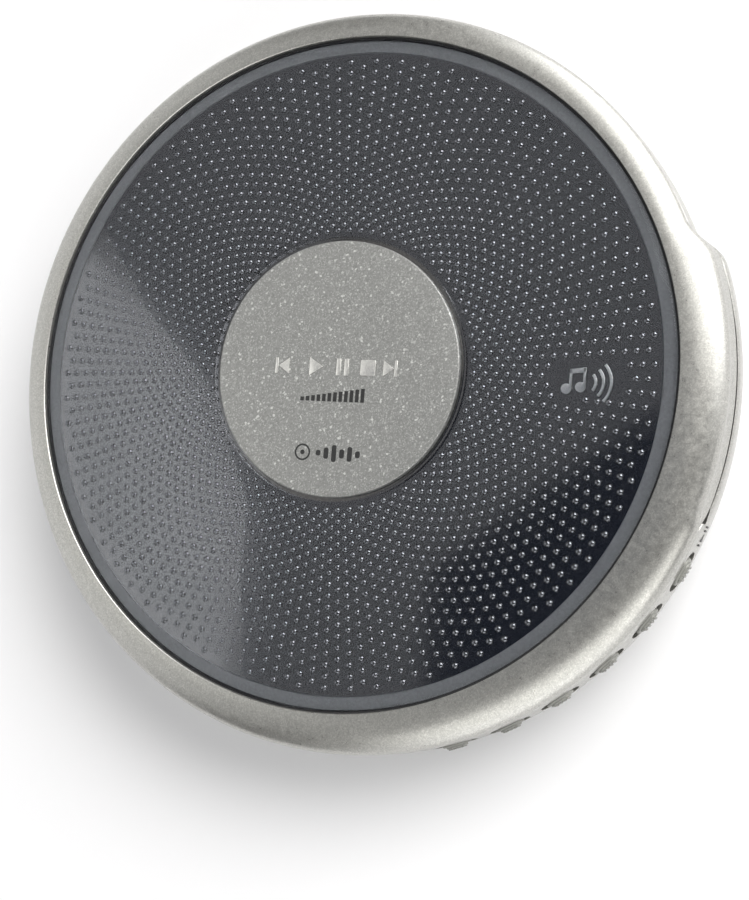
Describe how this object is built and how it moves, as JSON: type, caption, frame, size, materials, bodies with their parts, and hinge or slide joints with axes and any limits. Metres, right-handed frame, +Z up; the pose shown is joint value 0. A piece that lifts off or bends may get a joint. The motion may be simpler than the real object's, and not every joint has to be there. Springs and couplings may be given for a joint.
{
  "type": "portable CD player",
  "caption": "Round portable disc player with a dotted smoked lid window, a plain centre badge, side keys, a hinged lid and an inner disc drive.",
  "frame": {"origin": "bottom centre of the bounding box, on the surface that the player stands on", "axes": "+Z up through the closed lid, +X towards the lid's hinge, -Y towards the row of keys"},
  "size_m": [0.135, 0.1338, 0.021],
  "materials": {
    "silver_paint": "satin",
    "sparkle_paint": "satin",
    "smoked_window": "gloss",
    "dot_pattern": "satin",
    "key_plastic": "matte",
    "white_plastic": "matte",
    "dark_plastic": "matte",
    "steel": "satin",
    "brass": "satin",
    "circuit_board": "satin",
    "chip_plastic": "matte",
    "rubber": "matte",
    "cell_wrap": "gloss",
    "lens_glass": "gloss"
  },
  "bodies": {
    "case": {"case_shell": "silver_paint", "disc_tray": "dark_plastic", "hinge_pin": "steel", "lid_spring": "steel", "key_contact_strip": "circuit_board", "drive_chassis": "steel", "guide_rod_left": "steel", "guide_rod_right": "steel", "spindle_motor": "steel", "feed_motor": "steel", "main_board": "circuit_board", "key_board": "circuit_board", "signal_chip": "chip_plastic", "memory_chip": "chip_plastic", "audio_chip": "chip_plastic", "buffer_capacitor": "dark_plastic", "headphone_socket": "dark_plastic", "line_socket": "dark_plastic", "power_socket": "dark_plastic", "cell_1": "cell_wrap", "cell_2": "cell_wrap", "cell_contact_left": "steel", "cell_contact_right": "steel", "foot_1": "rubber", "foot_2": "rubber", "foot_3": "rubber", "foot_4": "rubber", "case_screw_1": "steel", "case_screw_2": "steel", "case_screw_3": "steel", "case_screw_4": "steel", "case_screw_5": "steel", "rubber_damper_1": "rubber", "rubber_damper_2": "rubber", "rubber_damper_3": "rubber"},
    "lid": {"lid_rim": "silver_paint", "lid_window": "smoked_window", "dot_plate": "dot_pattern", "centre_badge": "sparkle_paint", "lid_liner": "dark_plastic"},
    "turntable": {"turntable": "dark_plastic", "spindle_shaft": "steel"},
    "sled": {"pickup_sled": "dark_plastic"},
    "lens": {"lens_holder": "dark_plastic", "objective_lens": "lens_glass"},
    "feed_screw": {"lead_screw": "steel", "screw_gear": "white_plastic"},
    "pinion": {"motor_pinion": "brass"},
    "open_slider": {"open_slider": "key_plastic"},
    "hold_switch": {"hold_switch": "key_plastic"},
    "lid_switch": {"lid_switch": "white_plastic"},
    "battery_door": {"battery_door": "silver_paint"},
    "key_1": {"key_1": "key_plastic"},
    "key_2": {"key_2": "key_plastic"},
    "key_3": {"key_3": "key_plastic"},
    "key_4": {"key_4": "key_plastic"},
    "key_5": {"key_5": "key_plastic"},
    "key_6": {"key_6": "key_plastic"}
  },
  "joints": [
    {"name": "lid_hinge", "type": "hinge", "parent": "case", "child": "lid", "pos_m": [0.06282, 0.00115, 0.0156], "axis": [0, 1, 0], "range_deg": [0, 62]},
    {"name": "lid_switch_slide", "type": "slide", "parent": "case", "child": "lid_switch", "axis": [0, 0, 1], "range_m": [0, 0.0008]},
    {"name": "open_slide", "type": "slide", "parent": "case", "child": "open_slider", "axis": [0, -1, 0], "range_m": [0, 0.003], "stiffness_N_per_m": 120},
    {"name": "hold_slide", "type": "slide", "parent": "case", "child": "hold_switch", "axis": [0.454, -0.891, 0], "range_m": [0, 0.002]},
    {"name": "battery_door_hinge", "type": "hinge", "parent": "case", "child": "battery_door", "pos_m": [-0.00178, 0.05035, 0.00155], "axis": [1, 0, 0], "range_deg": [0, 100]},
    {"name": "disc_spin", "type": "hinge", "parent": "case", "child": "turntable", "pos_m": [-0.00178, 0.00115, 0.014], "axis": [0, 0, 1], "continuous": true},
    {"name": "feed_screw_spin", "type": "hinge", "parent": "case", "child": "feed_screw", "pos_m": [0.01682, -0.02885, 0.0062], "axis": [0, 1, 0], "range_deg": [0, 3902]},
    {"name": "sled_slide", "type": "slide", "parent": "case", "child": "sled", "axis": [0, -1, 0], "range_m": [0, 0.0325]},
    {"name": "pinion_spin", "type": "hinge", "parent": "case", "child": "pinion", "pos_m": [0.02102, -0.01185, 0.0062], "axis": [0, 1, 0], "range_deg": [-9755, 0]},
    {"name": "lens_focus", "type": "slide", "parent": "sled", "child": "lens", "axis": [0, 0, 1], "range_m": [-0.0003, 0.0003], "stiffness_N_per_m": 30},
    {"name": "key_1_press", "type": "slide", "parent": "case", "child": "key_1", "axis": [-0.8934, 0.4493, 0], "range_m": [0, 0.0008], "stiffness_N_per_m": 400},
    {"name": "key_2_press", "type": "slide", "parent": "case", "child": "key_2", "axis": [-0.8192, 0.5736, 0], "range_m": [0, 0.0008], "stiffness_N_per_m": 400},
    {"name": "key_3_press", "type": "slide", "parent": "case", "child": "key_3", "axis": [-0.729, 0.6845, 0], "range_m": [0, 0.0008], "stiffness_N_per_m": 400},
    {"name": "key_4_press", "type": "slide", "parent": "case", "child": "key_4", "axis": [-0.6225, 0.7826, 0], "range_m": [0, 0.0008], "stiffness_N_per_m": 400},
    {"name": "key_5_press", "type": "slide", "parent": "case", "child": "key_5", "axis": [-0.503, 0.8643, 0], "range_m": [0, 0.0008], "stiffness_N_per_m": 400},
    {"name": "key_6_press", "type": "slide", "parent": "case", "child": "key_6", "axis": [-0.3697, 0.9291, 0], "range_m": [0, 0.0008], "stiffness_N_per_m": 400}
  ],
  "couplings": [
    {"joint": "feed_screw_spin", "follows": "sled_slide", "rad_per_m": 2094.4},
    {"joint": "pinion_spin", "follows": "sled_slide", "rad_per_m": -5236},
    {"joint": "lid_switch_slide", "follows": "lid_hinge", "m_per_rad": 0.00072451}
  ]
}
